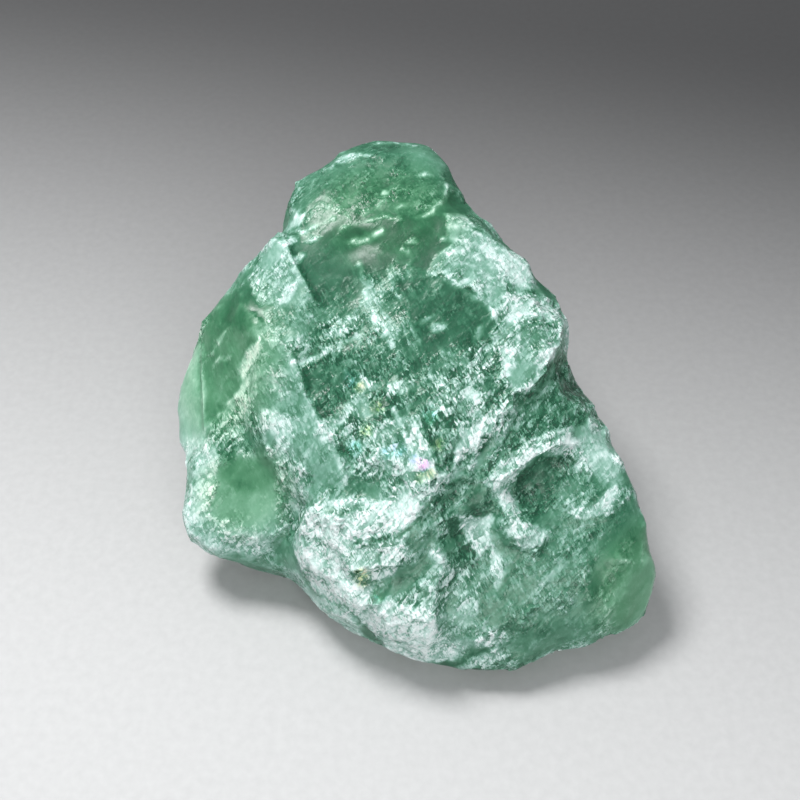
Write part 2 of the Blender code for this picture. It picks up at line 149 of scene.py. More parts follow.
# How light the broad face is, in patches laid one over another. Each has an outline of (u, v), or a
# spot: the (u, v) of its middle, its half-length, its half-width and its turn in degrees. Then come
# its tone, from 0, the deepest green, to 1.25, white; its sparkle, how much its flakes differ; and
# how much of what is under it it covers.
PATCHES = [
    # The knob.
    (((-4, 42), 21, 13, 20), 0.23, 0.18, 1.0),
    (((-15, 40), 7, 6, 50), 0.29, 0.17, 0.9),
    (((-16, 33.5), 6.5, 2.6, 18), 0.32, 0.20, 0.9),
    (((-21, 33.5), 1.6, 0.8, 45), 0.85, 0.20, 0.9),
    (((-12.5, 46.7), 1.8, 1.2, 10), 0.78, 0.25, 0.9),
    (((-8.8, 47), 1.3, 0.6, 10), 0.80, 0.20, 0.9),
    (((-5.5, 38.2), 0.7, 0.6, 0), 0.95, 0.10, 0.9),
    (((2, 47), 5, 4, -30), 0.40, 0.10, 0.9),
    (((1, 34.5), 4, 1.8, 20), 0.46, 0.24, 0.8),
    # The green band under the knob, and the dark face left of the middle.
    (((-3, 28), 17, 6.5, 2), 0.11, 0.10, 1.0),
    ([
        (-22, 29), (-20, 30), (-12, 29), (-9, 24), (-9.3, 18), (-12, 14), (-16.6, 16.4), (-19.3, 20.6),
        (-21.2, 24),
    ], 0.17, 0.10, 1.0),
    (((-22, 28.5), 1.3, 0.7, 20), 0.85, 0.30, 0.9),
    (((-20.8, 25.2), 1.8, 0.7, 42), 0.88, 0.30, 0.9),
    (((-18, 29), 1.6, 0.5, 15), 0.80, 0.30, 0.8),
    (((-1, 28), 0.9, 0.4, 0), 0.85, 0.20, 0.8),
    (((-3, 21.5), 3.0, 0.9, -72), 0.55, 0.40, 0.8),
    ([(5.6, 40), (9.5, 37.5), (9.2, 34.6), (6, 33), (3.5, 34), (4.6, 37)], 0.20, 0.08, 1.0),
    # The left blocks.
    # Painted glow: the thin left edge of the leftmost block is lighter, as light passes through it.
    ([
        (-46, 0), (-44, 12), (-38.5, 13.5), (-38.2, 8), (-37.6, 2), (-37, -5), (-41, -8),
    ], 0.65, 0.08, 1.0),
    (((-40, -5), 3.5, 1.6, 20), 0.84, 0.20, 0.9),
    ([
        (-38.4, 14), (-36.5, 20), (-29, 22), (-26.5, 13.5), (-28.5, 5.5), (-33, 0), (-37, -4), (-38, 3),
    ], 0.37, 0.12, 1.0),
    (((-31, 17.5), 6, 3.4, 30), 0.17, 0.08, 0.9),
    (((-28, 15.5), 4, 2.4, 30), 0.20, 0.10, 0.9),
    (((-33, 8.8), 0.8, 0.5, 20), 0.70, 0.20, 0.9),
    ([
        (-23.6, 29.5), (-28, 25), (-29.6, 23), (-29, 19.5), (-27, 17), (-22, 17), (-20, 20.6),
        (-21.3, 24.4),
    ], 0.66, 0.28, 1.0),
    (((-25.3, 26), 2.6, 1.6, 50), 0.64, 0.10, 0.9),
    (((-22, 18.8), 2.4, 1.2, 45), 0.92, 0.30, 0.9),
    ([
        (-20.2, 20.4), (-17, 16.3), (-19.5, 12.5), (-24.5, 12.8), (-26.5, 16), (-22, 17.4),
    ], 0.50, 0.22, 1.0),
    (((-19.2, 10), 0.9, 0.8, 0), 0.90, 0.20, 0.9),
    (((-28.6, 8), 2.8, 1.2, 48), 0.90, 0.35, 0.9),
    ([
        (-29.8, 5), (-26, 11.5), (-24.6, 12.6), (-23, 9.8), (-20.9, 7), (-19.7, 3.2), (-17.9, -2),
        (-15.4, -6), (-13, -10), (-11.2, -14.5), (-13.5, -15.2), (-17, -14.4), (-20.5, -10), (-24, -8),
        (-27, -4.5),
    ], 0.53, 0.20, 1.0),
    (((-24, -3.4), 3.4, 1.9, -35), 0.94, 0.30, 1.0),
    (((-22.3, -7.6), 2.4, 1.3, -62), 0.78, 0.35, 0.9),
    (((-23.5, 3), 3.4, 1.2, -60), 0.66, 0.35, 0.8),
    (((-30, 3.4), 1.8, 0.8, 55), 0.85, 0.30, 0.9),
    (((-31, -4), 5, 3.6, 0), 0.54, 0.40, 0.9),
    (((-27.5, -6), 2.6, 1.4, -50), 0.30, 0.20, 0.9),
    (((-30.5, -8), 1.6, 0.7, -80), 0.80, 0.30, 0.8),
    # The foot and the gully beside it.
    ([
        (-36, -9.5), (-25, -9), (-24.3, -14), (-24, -21), (-25.5, -22), (-31, -19.5), (-36.5, -17.5),
        (-34.5, -13),
    ], 0.54, 0.12, 1.0),
    (((-29, -11), 5, 2.8, -8), 0.32, 0.12, 0.9),
    # Painted highlight: the lighter lower right of the foot.
    (((-26.8, -17.5), 2.4, 3.4, 0), 0.62, 0.10, 0.9),
    # Painted glow: the foot's thin left rim, lighter as light passes through it.
    ([
        (-39.4, -5.5), (-35.2, -5), (-34.6, -9), (-35.8, -13), (-37, -17), (-36, -18.6), (-42, -20),
        (-43, -14), (-38.6, -12.4), (-38.8, -8),
    ], 0.80, 0.30, 1.0),
    (((-40.6, -10), 2.4, 1.6, 80), 0.58, 0.20, 0.9),
    # Painted glow: the foot's thin bottom, lighter as light passes through it.
    (((-33, -22), 9, 2.8, -6), 0.70, 0.26, 1.0),
    (((-33.4, -21), 1.4, 1.2, 0), 0.86, 0.35, 0.8),
    (((-28.5, -23), 3.2, 0.9, 5), 0.85, 0.35, 0.8),
    (((-31, -26), 8, 1.6, -4), 0.44, 0.15, 0.9),
    ([
        (-24, -9.3), (-21, -9.3), (-18.3, -13), (-18, -15.5), (-20, -19.5), (-22, -22.5), (-24.2, -21),
        (-23.8, -15),
    ], 0.60, 0.40, 1.0),
    (((-20.6, -16), 2.0, 0.6, -80), 0.80, 0.30, 0.8),
    (((-22.5, -25.5), 3.5, 2.0, -60), 0.45, 0.15, 0.9),
    # The middle of the face.
    (((-8, 3), 16, 8.5, -62), 0.32, 0.34, 1.0),
    ([
        (-19.6, 4.8), (-14.5, 8), (-10, 8.5), (-9, 5), (-11, 1), (-14, -1.5), (-16.6, -3.6), (-18.2, 0),
    ], 0.24, 0.26, 1.0),
    (((-12.5, 13), 3.4, 1.5, 25), 0.74, 0.55, 0.9),
    (((-16.5, 12.5), 3, 1.8, 20), 0.48, 0.35, 0.8),
    ([
        (2.2, 21.3), (4, 22), (6, 20), (7.8, 19.8), (10, 19), (12.5, 16.5), (13.4, 13), (12.2, 10.4),
        (9.6, 9.4), (7.2, 7.6), (5, 4.6), (1, 3.6), (-1.4, 6.5), (-3.6, 12), (-5, 18), (-3, 21),
    ], 0.17, 0.16, 1.0),
    (((3.4, 12.4), 1.2, 0.9, 20), 0.80, 0.25, 0.9),
    (((-3.2, 14), 6, 1.4, -66), 0.36, 0.32, 0.8),
    (((-1.4, 12.6), 1.4, 0.4, -66), 0.66, 0.30, 0.8),
    (((-0.6, 9.2), 3.4, 0.4, -58), 0.52, 0.30, 0.8),
    (((-3.8, 19.6), 3.0, 0.35, -68), 0.62, 0.25, 0.8),
    (((1.6, 13.8), 1.8, 0.4, 22), 0.60, 0.25, 0.8),
    (((8.8, 15.2), 1.6, 0.3, -50), 0.45, 0.20, 0.8),
    (((5.2, 6.6), 5.4, 1.8, 32), 0.38, 0.42, 0.8),
    (((10.6, 11.6), 0.6, 1.2, -20), 0.80, 0.25, 0.8),
    (((-8.4, 2.6), 2.2, 1.1, -20), 0.88, 0.40, 0.9),
    (((-3.2, 1.6), 2.4, 1.3, 10), 0.70, 0.40, 0.9),
    ([(-12.6, -1), (-10, 0.3), (-8.4, -0.3), (-7.4, -3), (-9.5, -4), (-12.5, -2.6)], 0.62, 0.22, 1.0),
    (((-15, -4.4), 2.6, 1.0, 48), 0.82, 0.45, 0.9),
    (((-8, -9), 7, 3.6, -50), 0.52, 0.60, 0.9),
    ([
        (-5.5, -4), (-2, -3.4), (0.2, -5.4), (1.2, -8), (3.6, -13), (5, -14.4), (1.4, -17.4), (-1, -17),
        (-2.6, -14), (-5, -12.6), (-7.8, -9), (-8.4, -7), (-6.4, -6),
    ], 0.72, 0.48, 1.0),
    ([
        (4.6, 3), (8, 8), (10, 9.6), (13.5, 11), (14.6, 9), (15.4, 2), (17.2, -0.4), (15, -4), (9, -11),
        (5, -13), (3.4, -6), (1.4, -1),
    ], 0.54, 0.54, 1.0),
    (((4.4, -8), 3.4, 2.0, -62), 0.42, 0.45, 0.9),
    (((8.6, 0.4), 1.4, 0.9, 0), 0.92, 0.30, 0.9),
    (((10.2, -2.8), 1.7, 0.8, -60), 0.90, 0.30, 0.9),
    (((8, -6.4), 2.2, 0.9, -55), 0.90, 0.35, 0.9),
    (((13.4, -2.4), 1.0, 0.5, 10), 0.92, 0.30, 0.9),
    (((13.4, 0.8), 2.2, 1.0, -30), 0.34, 0.30, 0.8),
    ([
        (9.2, -8.6), (12, -7.8), (15, -5.4), (17.5, -1.2), (16.4, -0.8), (14.8, -4), (11.4, -5.4),
    ], 0.78, 0.45, 0.9),
    ([
        (9.8, -9), (10.4, -6.6), (12.8, -5.8), (13.2, -3), (11, -3.4), (8, -6), (6.4, -9), (7.2, -9.6),
    ], 0.88, 0.40, 1.0),
    # The fan, and the pale side right of the middle.
    ([
        (14.2, 11), (13.8, 16), (16, 20), (25.5, 19), (25, 10), (20.4, 3), (17.4, 0), (15.6, 2),
    ], 0.67, 0.38, 1.0),
    (((17.6, 5.4), 4.2, 1.8, 70), 0.55, 0.15, 0.9),
    (((22, 6.8), 3.2, 1.6, 50), 0.84, 0.35, 0.9),
    (((17.8, 15.8), 3.6, 1.0, 45), 0.92, 0.35, 0.9),
    (((22.4, 16.4), 3.0, 1.2, -15), 0.86, 0.40, 0.9),
    (((21.5, 12), 3.0, 1.8, 30), 0.56, 0.45, 0.9),
    ([
        (5, 34.4), (8.6, 34.6), (10, 31.2), (12.8, 30.6), (13.2, 28), (16, 26), (20, 23.4), (22, 21),
        (18, 20.8), (14.6, 22), (13.6, 17), (12.6, 16.8), (12, 20.4), (9.8, 21), (8.6, 21.2), (6, 22.6),
        (3.4, 22.2), (2, 23), (4, 26.4), (6.2, 27.6), (5.4, 30),
    ], 0.66, 0.24, 0.9),
    (((16, 25.2), 5.4, 2.8, -38), 1.0, 0.30, 0.9),
    (((11, 24), 2.6, 1.4, 40), 0.58, 0.20, 0.8),
    (((12, 33), 4.5, 1.2, -52), 0.36, 0.20, 0.9),
    # The lower wedge, the riser below the main ledge, and the strips.
    (((21, -27), 15, 10, 40), 0.39, 0.24, 0.9),
    ([
        (25, 10), (21.2, 4.4), (17.7, -0.6), (15.4, -5), (10.6, -11.2), (5.4, -14.8), (1.4, -18.2),
        (3.4, -20.6), (6, -21.4), (12, -15.6), (17, -9), (22, -5.4), (29, -3), (30, 2), (28.5, 8),
    ], 0.32, 0.33, 1.0),
    (((8, -15.2), 3.4, 1.0, 45), 0.40, 0.30, 0.8),
    ([
        (10.8, -14.3), (13.5, -11), (16, -8.6), (19, -6.6), (23, -5.4), (26.6, -5.2), (27.4, -6.6),
        (25.5, -8), (22, -8.3), (19.5, -9.8), (16.8, -12.3), (15, -14.3), (12.5, -15.2),
    ], 0.76, 0.44, 1.0),
    ([
        (12.5, -15), (14.6, -14.6), (16.5, -17.5), (18, -20), (20.6, -21), (21.4, -22.6), (20, -24.6),
        (17.5, -25), (15, -22.5), (14.8, -19.5),
    ], 0.80, 0.34, 1.0),
    (((14.6, -16.6), 2.4, 0.8, -50), 0.92, 0.30, 0.9),
    (((20.6, -23), 1.8, 0.7, 60), 0.92, 0.30, 0.9),
    (((6.6, -17.6), 2.4, 0.4, 42), 0.84, 0.20, 0.8),
    # The right side and the corner.
    ([
        (16.5, -12.7), (19.5, -10.2), (22.5, -9), (26, -8.7), (27, -10), (23.4, -13.5), (24, -16),
        (21, -19), (18, -18.8), (16, -16),
    ], 0.24, 0.30, 1.0),
    (((26.5, -13.5), 3.4, 2.0, -40), 0.42, 0.25, 0.9),
    (((26.3, -6.7), 1.2, 0.9, 0), 0.95, 0.20, 0.9),
    (((31.5, -9), 5.6, 2.6, -66), 0.68, 0.18, 1.0),
    (((31.6, -8.6), 1.4, 0.6, 0), 0.88, 0.20, 0.9),
    ([
        (25.8, -18.2), (27.5, -17), (30, -16.8), (32.5, -14.3), (34.4, -13.4), (34.2, -16.5), (32, -19),
        (29.5, -19.4), (26.5, -19.6),
    ], 0.76, 0.30, 1.0),
    (((32.6, -16.2), 2.4, 0.8, 58), 0.95, 0.25, 0.9),
    ([
        (33.5, -18), (37, -15.5), (39, -20), (37.5, -26), (33.5, -31), (29.5, -32.4), (28.6, -29.5),
        (31, -23),
    ], 0.27, 0.14, 1.0),
    (((39.5, -20), 5, 3, -70), 0.38, 0.10, 0.9),
    (((37.5, -31), 8, 4, 62), 0.46, 0.08, 1.0),
    (((27, -36.5), 6, 2.6, 30), 0.33, 0.12, 0.9),
    (((20, -40), 5.5, 1.8, 5), 0.34, 0.15, 0.9),
    (((27, -23.5), 3.6, 1.0, 42), 0.34, 0.25, 0.8),
    ([(6.6, -19.6), (12.6, -19.2), (11.8, -24.8), (10, -25.6)], 0.88, 0.30, 1.0),
    ([(5.5, -21), (7, -21.4), (9.7, -25.4), (10.4, -28.5), (6.5, -27.5), (3.8, -24)], 0.26, 0.30, 1.0),
    ([
        (8, -15), (11, -15.4), (14.6, -18.6), (14.4, -21.6), (12.8, -22), (12.8, -19), (8, -19.2),
    ], 0.26, 0.28, 1.0),
    ([(12.3, -23.8), (13.7, -25.5), (14.7, -29), (13.2, -31.5), (12, -28)], 0.88, 0.35, 1.0),
    (((3.6, -26.6), 2.4, 1.0, -48), 0.88, 0.40, 0.9),
    (((5, -32.5), 7, 5, 25), 0.58, 0.40, 0.9),
    (((7, -36), 3, 2, 40), 0.70, 0.30, 0.9),
    # The front hump.
    ([
        (-20, -21), (-18.6, -18.4), (-16, -17.3), (-10, -16.8), (-5, -17.3), (-2, -16.3), (0.4, -18),
        (0.6, -21), (-3, -22.2), (-7, -22.6), (-10, -23.6), (-12, -26), (-11, -29), (-9, -30.6),
        (-7, -31), (-5, -33.6), (2, -34.6), (3.4, -38), (-1, -40.4), (-7, -38.8), (-9, -36),
        (-12, -33.8), (-15, -33), (-17.6, -31), (-19.6, -28), (-20.6, -24),
    ], 1.02, 0.46, 1.0),
    ([
        (-10, -23.4), (-5, -22.8), (-1.2, -22.6), (-1, -26), (-4, -29), (-8, -30), (-10.6, -28.4),
        (-12, -26),
    ], 0.84, 0.50, 1.0),
    (((-13, -18.6), 5.5, 0.9, 4), 0.52, 0.50, 0.8),
    (((-18.8, -23.2), 0.9, 0.8, 0), 0.50, 0.30, 0.8),
    (((-6.4, -32.4), 1.6, 1.2, 40), 0.45, 0.35, 0.8),
    ([
        (-23.5, -27), (-21, -27.4), (-18.6, -31), (-15, -33.6), (-11.6, -35), (-9, -38.4), (-13, -40),
        (-22, -32),
    ], 0.76, 0.26, 1.0),
    (((0.6, -40.8), 7.5, 2.6, 4), 1.04, 0.36, 0.9),
    (((12.4, -39.4), 3, 0.9, 15), 0.86, 0.40, 0.9),
    (((12, -42.4), 3, 1.2, 10), 0.82, 0.45, 0.9),
]

# Thin seams, scratches, fibres and cracks: the (u, v) along each, its half-width in mm and its tone.
STROKES = [
    # The knob.
    ([(-22.4, 36.4), (-21.4, 34.6), (-20.6, 33.2)], 0.5, 0.90),
    ([(-23, 33), (-22, 31)], 0.45, 0.85),
    ([(-21.4, 31.4), (-19.8, 30.6), (-18.4, 29.2)], 0.45, 0.80),
    ([(-18.8, 31), (-16.8, 31.6), (-14.6, 33)], 0.5, 0.80),
    ([(-17.5, 36), (-14.5, 35.4), (-12, 33.2)], 0.4, 0.62),
    ([(-13.5, 30.8), (-10, 31.8), (-6, 33), (-2.6, 32.4)], 0.4, 0.56),
    ([(-9.4, 33.4), (-6.4, 35.6), (-4.8, 38.8), (-3, 40.2)], 0.4, 0.54),
    ([(-3.4, 35), (-0.5, 35.8), (2, 37.2), (3.8, 39)], 0.4, 0.66),
    ([(5.6, 41.2), (5.2, 38), (4.1, 36), (3, 34.2), (0, 33)], 0.4, 0.86),
    ([(0.6, 42.2), (1.6, 42.8), (2.6, 42.4)], 0.4, 0.76),
    ([(-16.5, 44.5), (-13, 46.7), (-10.5, 47.2)], 0.5, 0.76),
    ([(-8, 50.6), (-4, 51), (0, 50.4)], 0.5, 0.74),
    ([(-20.4, 37.6), (-18.8, 39.6), (-18.6, 42)], 0.4, 0.50),
    # The green band and the dark faces.
    ([(-11.4, 28.4), (-9, 28.9), (-6.2, 29.9)], 0.6, 0.95),
    ([(-2.6, 26.8), (-1.4, 26.2)], 0.45, 0.70),
    ([(-9.9, 24), (-9.2, 21.4), (-8.4, 18.6), (-7.6, 15.6), (-7, 12.8)], 0.6, 1.0),
    ([(-6, 13), (-5.2, 11), (-4.4, 9.2)], 0.6, 0.95),
    ([(-4.8, 23.4), (-4, 20.4), (-3.2, 18)], 0.4, 0.74),
    ([(-0.8, 25.6), (-1.4, 22.8), (-1.2, 20.6)], 0.4, 0.66),
    ([(-2.4, 17), (-1.2, 13.4), (0.6, 9)], 0.4, 0.50),
    # The left blocks.
    ([(-36.4, -2), (-33.5, 0.5), (-30.5, 3), (-28.8, 4.8)], 0.45, 0.95),
    ([(-37.8, 9.4), (-35.8, 10.8), (-34, 13), (-32.6, 14)], 0.4, 0.70),
    ([(-36, 8.4), (-34.2, 9.5)], 0.4, 0.85),
    ([(-30, 5.5), (-28.6, 7.6), (-27, 9.4)], 0.6, 1.0),
    ([(-24.6, 5.5), (-24, 2.4), (-22.8, -0.6)], 0.5, 0.80),
    # The middle.
    ([(-21, 6.4), (-17, 7.5), (-12.5, 10), (-9.6, 11)], 0.45, 0.95),
    ([(-12.5, -3.5), (-14, -5), (-15.5, -7)], 0.55, 0.95),
    ([(-2, -1), (0, -6), (2, -10), (3.2, -13.8)], 0.4, 0.98),
    ([(0.6, -3), (1.4, -6), (2.8, -9.4), (4.3, -13.5)], 0.4, 0.10),
    ([(-4, -2), (-2.4, -6), (-0.8, -10), (1, -14)], 0.4, 0.95),
    ([(14, 10.4), (14.7, 7), (15.5, 4)], 0.5, 1.0),
    ([(15.6, 8.4), (16.2, 5.6)], 0.45, 0.92),
    # The fan's fibres and its scalloped edge.
    ([(4.6, 28.4), (8, 28.8), (12, 27.6), (16, 24.6), (19.6, 20.6)], 0.45, 1.0),
    ([(5.6, 31), (8.6, 31.4), (11.6, 30)], 0.45, 0.98),
    ([(6, 33.6), (8.4, 33.4), (10.6, 31.8)], 0.4, 0.86),
    ([(5, 25.8), (8.6, 26.4), (12.4, 24.6), (15.6, 21.4)], 0.45, 0.98),
    ([(6.4, 24.2), (9.6, 23.8), (12.4, 21.8)], 0.4, 0.92),
    ([(8, 28.6), (10.6, 25), (12, 21.6), (12.6, 18)], 0.4, 0.92),
    ([(11.4, 27.8), (13.8, 24.4), (15, 20.6)], 0.4, 0.92),
    ([(2, 22.1), (5, 22.4), (7, 20.2), (9, 21), (10.4, 18.4), (12.4, 17), (13.4, 14)], 0.45, 0.96),
    ([(14.6, 18), (17, 16.4), (20.4, 15.6)], 0.5, 0.98),
    ([(15.5, 13.6), (18, 15.6), (20.4, 18.6)], 0.5, 0.92),
    # The rim of the main ledge, and the lines along its riser.
    ([(16.6, 0.8), (16.4, -1.8), (13.2, -3)], 0.4, 0.86),
    ([(10.4, -6.6), (9.8, -9), (7.2, -9.6), (5.6, -12.8), (3.8, -13.6)], 0.4, 0.90),
    ([(23.6, 6), (19.4, -1.6), (14.6, -7.6), (9.6, -12.4)], 0.4, 0.52),
    ([(24.8, 3), (20.6, -3.4), (16.2, -7.6)], 0.4, 0.12),
    ([(8, -12.2), (5.4, -15.2), (3, -17.6)], 0.5, 0.12),
    ([(10, -13.4), (7, -16.8), (5, -19.6)], 0.4, 0.62),
    # The lower wedge and the hump.
    ([(23, -27.4), (27, -24.2), (30.4, -21)], 0.5, 0.16),
    ([(31, -31.4), (31.6, -28.6), (34.4, -26.6), (38, -26.4)], 0.4, 0.60),
    ([(19, -38), (23, -34), (27, -30)], 0.45, 0.28),
    ([(17.6, -33.6), (21.4, -30), (24.4, -26.4)], 0.4, 0.66),
    ([(-10.4, -24.3), (-5, -23.5), (-1, -22), (0.4, -20)], 0.45, 0.22),
    ([(-7.4, -33), (-4.4, -30.8), (-1, -29.4)], 0.4, 0.30),
    ([(-17.6, -18.3), (-12, -18), (-6, -18.2), (-2, -17)], 0.5, 0.95),
]
STROKE_SPARKLE = 0.24

# Where the flakes run down the steep flow and not along the ledges, and where the green is warmer.
STEEP_SPOTS = [
    ((-6, 6), 22, 12, -62),
    ((-8, 20), 12, 10, -62),
    ((-26, 2), 16, 9, -60),
    ((13, -30), 8, 6, -70),
]
LEAF_SPOTS = [
    ((-5, 34), 13, 10, 0),
    ((-30, -14), 8, 7, 0),
    ((-34, 8), 11, 13, 0),
    ((37, -29), 10, 7, 55),
]

# Painted rainbow glints: the (u, v) of each, its radius in mm, and its hue.
PAINTED_IRIS_GLINTS = [
    ((-11.5, 3.4), 1.3, 0.55),
    ((-9.5, 2.2), 0.9, 0.12),
    ((-6.5, -1.5), 1.2, 0.15),
    ((3.4, -8.2), 1.0, 0.13),
    ((2.2, -3.5), 1.3, 0.48),
    ((-3, -9), 1.2, 0.56),
    ((-5, -9.6), 1.0, 0.53),
    ((-10.5, -8.5), 1.4, 0.47),
    ((-8.4, -5.6), 1.0, 0.16),
    ((1, -11.6), 1.1, 0.83),
    ((-0.8, -10.6), 0.8, 0.62),
    ((0.4, -13.6), 0.9, 0.20),
    ((2.2, -13.2), 0.8, 0.14),
    ((-9, -29.5), 1.2, 0.14),
    ((-6.5, -32.5), 1.0, 0.45),
]
IRIS_FADE = (0.3, 1.6)  # of the radius, from where a painted glint starts to fade to where it has

# How the marks lie on the skin.
OUTLINE_SOFTNESS = 0.28  # mm
SPOT_SOFTNESS = 0.4  # of the spot's size
MARK_FACING = (-0.3, 0.1)  # the facings between which the marks appear
WANDER = [(0.35, 2.6, 0), (0.34, 0.9, 4)]  # how far outlines stray and how soon, in mm, and a shift
BROKEN_RANGE = (-0.25, 0.25)  # the noise between which a line goes from broken to whole
BROKEN_SIZE = 1.7  # mm
BROKEN_SHARE = 0.65  # how much of a stroke goes where it is broken
NOISE_SHIFTS = {"u": 5, "v": 17, "broad": 41, "ripple": 53, "broken": 67}

# What there is outside the patches.
DEFAULT_TONE = 0.54
DEFAULT_SPARKLE = 0.30
BROAD_SIZE = 11  # mm
RIPPLE_SIZE = 4  # mm
DEFAULT_SWINGS = (0.35, 0.3)  # how much the tone and the sparkle differ

# Painted highlight on raised edges and painted shade in nooks, the more so between these heights and
# depths in mm.
EDGE_ROUNDS = 6
EDGE_PAINTED_HIGHLIGHT = 0.20
EDGE_HEIGHTS = (0.02, 0.16)
NOOK_PAINTED_SHADE = 0.14
NOOK_DEPTHS = (0.03, 0.18)

# Colours, linear, from the deepest green to the frosted white.
TONES = [
    (0.00, (0.012, 0.110, 0.055, 1)),
    (0.20, (0.040, 0.215, 0.115, 1)),
    (0.40, (0.104, 0.312, 0.195, 1)),
    (0.60, (0.205, 0.430, 0.330, 1)),
    (0.80, (0.375, 0.585, 0.515, 1)),
    (1.00, (0.600, 0.770, 0.730, 1)),
    (1.25, (0.830, 0.930, 0.915, 1)),
]
LEAF_TINT = (0.97, 1.02, 0.86, 1)
HIDDEN_LEAF = 0.3  # how much of it the hidden sides have
# The colour of the painted rainbow glints.
IRIS_SATURATION = 0.62
IRIS_VALUE = 1.15

# The flakes: the size in mm of each kind, and how much it counts.
FLAKE_SIZES = {"plates": 1.3, "chips": 0.62, "slivers": 0.30, "fibres": 0.42}
FLAKE_SHARES = {"plates": 0.22, "chips": 0.27, "slivers": 0.26, "fibres": 0.42}
FLAKE_SHADING_SLOPE = 1.8  # how much a flake's tone rises towards one side, as painted shading of a tilted facet
FLAKE_LENGTH = 2.0  # how much longer than wide the flakes are
SLIVER_STRETCH = (0.6, 1, 1)
FIBRE_STRETCH = (0.35, 1, 1)
WISP_STRETCH = (0.4, 1, 1)
WISP_SIZE = 1.3  # mm
RAGGED_SIZE = 1.6  # mm
RAGGED_REACH = 0.8  # mm
PATCHY_SIZE = 2.2  # mm
CLOUD_SIZE = 3.5  # mm
SOFT_DETAIL = 3.0  # how many finer noises the soft ones hold, each half the size of the last
FINE_DETAIL = 5.0  # how many the fine ones hold
RAGGED_ROUGHNESS = 0.62  # how strong each of those is, as a share of the last
WISP_ROUGHNESS = 0.65

# How one value sets another: the low and the high end of the first, and what they give, or 0 and 1.
PATCHY_SPARKLE = (0.35, 0.65, 0.6, 1.4)  # from slow noise, the share of the sparkle
FLAKE_TONES = (0.30, 0.92, -0.42, 0.6)  # from the flakes, how much lighter than the skin they are
SPARKLE_SWING = (0.10, 0.60, 0.05, 1.05)  # from the sparkle, how much of that shows
CLOUD_TONES = (0.3, 0.7, -0.08, 0.08)  # from slow noise, how much lighter the skin is
BRIGHT_SLIVERS = (0.8, 1.1)  # which slivers carry painted glints
BRIGHT_CHIPS = (0.55, 0.9)  # which chips the painted glints sit on
PAINTED_GLINT_TONES = (0.1, 0.5, 0.05, 0.4)  # from the sparkle, how much lighter a painted glint is
WISP_RANGE = (0.56, 0.74)  # which noise is a wisp
WISP_TONES = (0.08, 0.3, 0.12, 0.3)  # from the sparkle, how much lighter a wisp is
ROOM_ABOVE = (0.4, 1.1, 1.0, 0.2)  # from the tone, how much of the painted glints and the wisps shows
HUE_DRIFT = (0.0, 1.0, -0.05, 0.05)  # from the plates, how far the rainbow's hue drifts
RAINBOW_GLINT_SHARE = (0.2, 0.8, 0.25, 0.75)  # from the chips, how strong the painted rainbow glint is
CLEARNESS = (0.15, 0.9, 0.5, 0.06)  # from the tone, how much light goes through
DULLNESS = (0.10, 0.45, 0.34, 0.17)  # from the sparkle, the roughness of the surface
RELIEF = (0.12, 0.55, 0.05, 1.0)  # from the sparkle, how much of the bump's height there is
BUMP_HEIGHT = 0.0006  # m
FLUORITE_IOR = 1.434
ABSORPTION_COLOUR = (0.36, 0.82, 0.60, 1)
ABSORPTION_DENSITY = 75.0


def face_frame():
    """From the face plane's u, v, w to the row's x, y, z, in millimetres."""
    return Matrix.Translation(FACE_ORIGIN) @ Matrix.Rotation(FACE_LEAN, 4, "X")


def cleavage_normals():
    normals = [Vector((0, 0, 1))]
    for turn in range(3):
        azimuth = LEDGE_TURN - math.radians(90) + turn * math.radians(120)
        flat = math.sin(CLEAVAGE_ANGLE)
        across = (flat * math.cos(azimuth), flat * math.sin(azimuth))
        normals.append(Vector((*across, math.cos(CLEAVAGE_ANGLE))))
    rotation = face_frame().to_3x3()
    return np.array([rotation @ normal for normal in normals])


def linked(obj):
    bpy.context.scene.collection.objects.link(obj)
    return obj


def make_camera():
    back = Vector((0, -math.cos(VIEW_ELEVATION), math.sin(VIEW_ELEVATION)))
    right = Vector((1, 0, 0))
    up = back.cross(right)
    data = bpy.data.cameras.new("view")
    data.lens = VIEW_LENS
    data.sensor_width = VIEW_SENSOR
    data.clip_start = VIEW_NEAREST
    camera = linked(bpy.data.objects.new("view", data))
    place = FACE_ORIGIN + back * VIEW_DISTANCE + right * VIEW_SHIFT[0] + up * VIEW_SHIFT[1]
    camera.matrix_world = Matrix.Translation(place * MM) @ Matrix((right, up, back)).transposed().to_4x4()
    bpy.context.scene.camera = camera


def softbox(name, place, target, size, power):
    data = bpy.data.lights.new(name, "AREA")
    data.shape = "DISK"
    data.size = size
    data.energy = power
    light = linked(bpy.data.objects.new(name, data))
    light.location = place
    light.rotation_euler = (Vector(target) - Vector(place)).to_track_quat("-Z", "Y").to_euler()


def make_studio():
    for lamp in LAMPS:
        softbox(*lamp)
    world = bpy.data.worlds.new("studio")
    world.use_nodes = True
    background = world.node_tree.nodes["Background"]
    background.inputs["Color"].default_value = SKY_COLOUR
    background.inputs["Strength"].default_value = SKY_STRENGTH
    bpy.context.scene.world = world
    bpy.context.scene.view_settings.view_transform = "Standard"


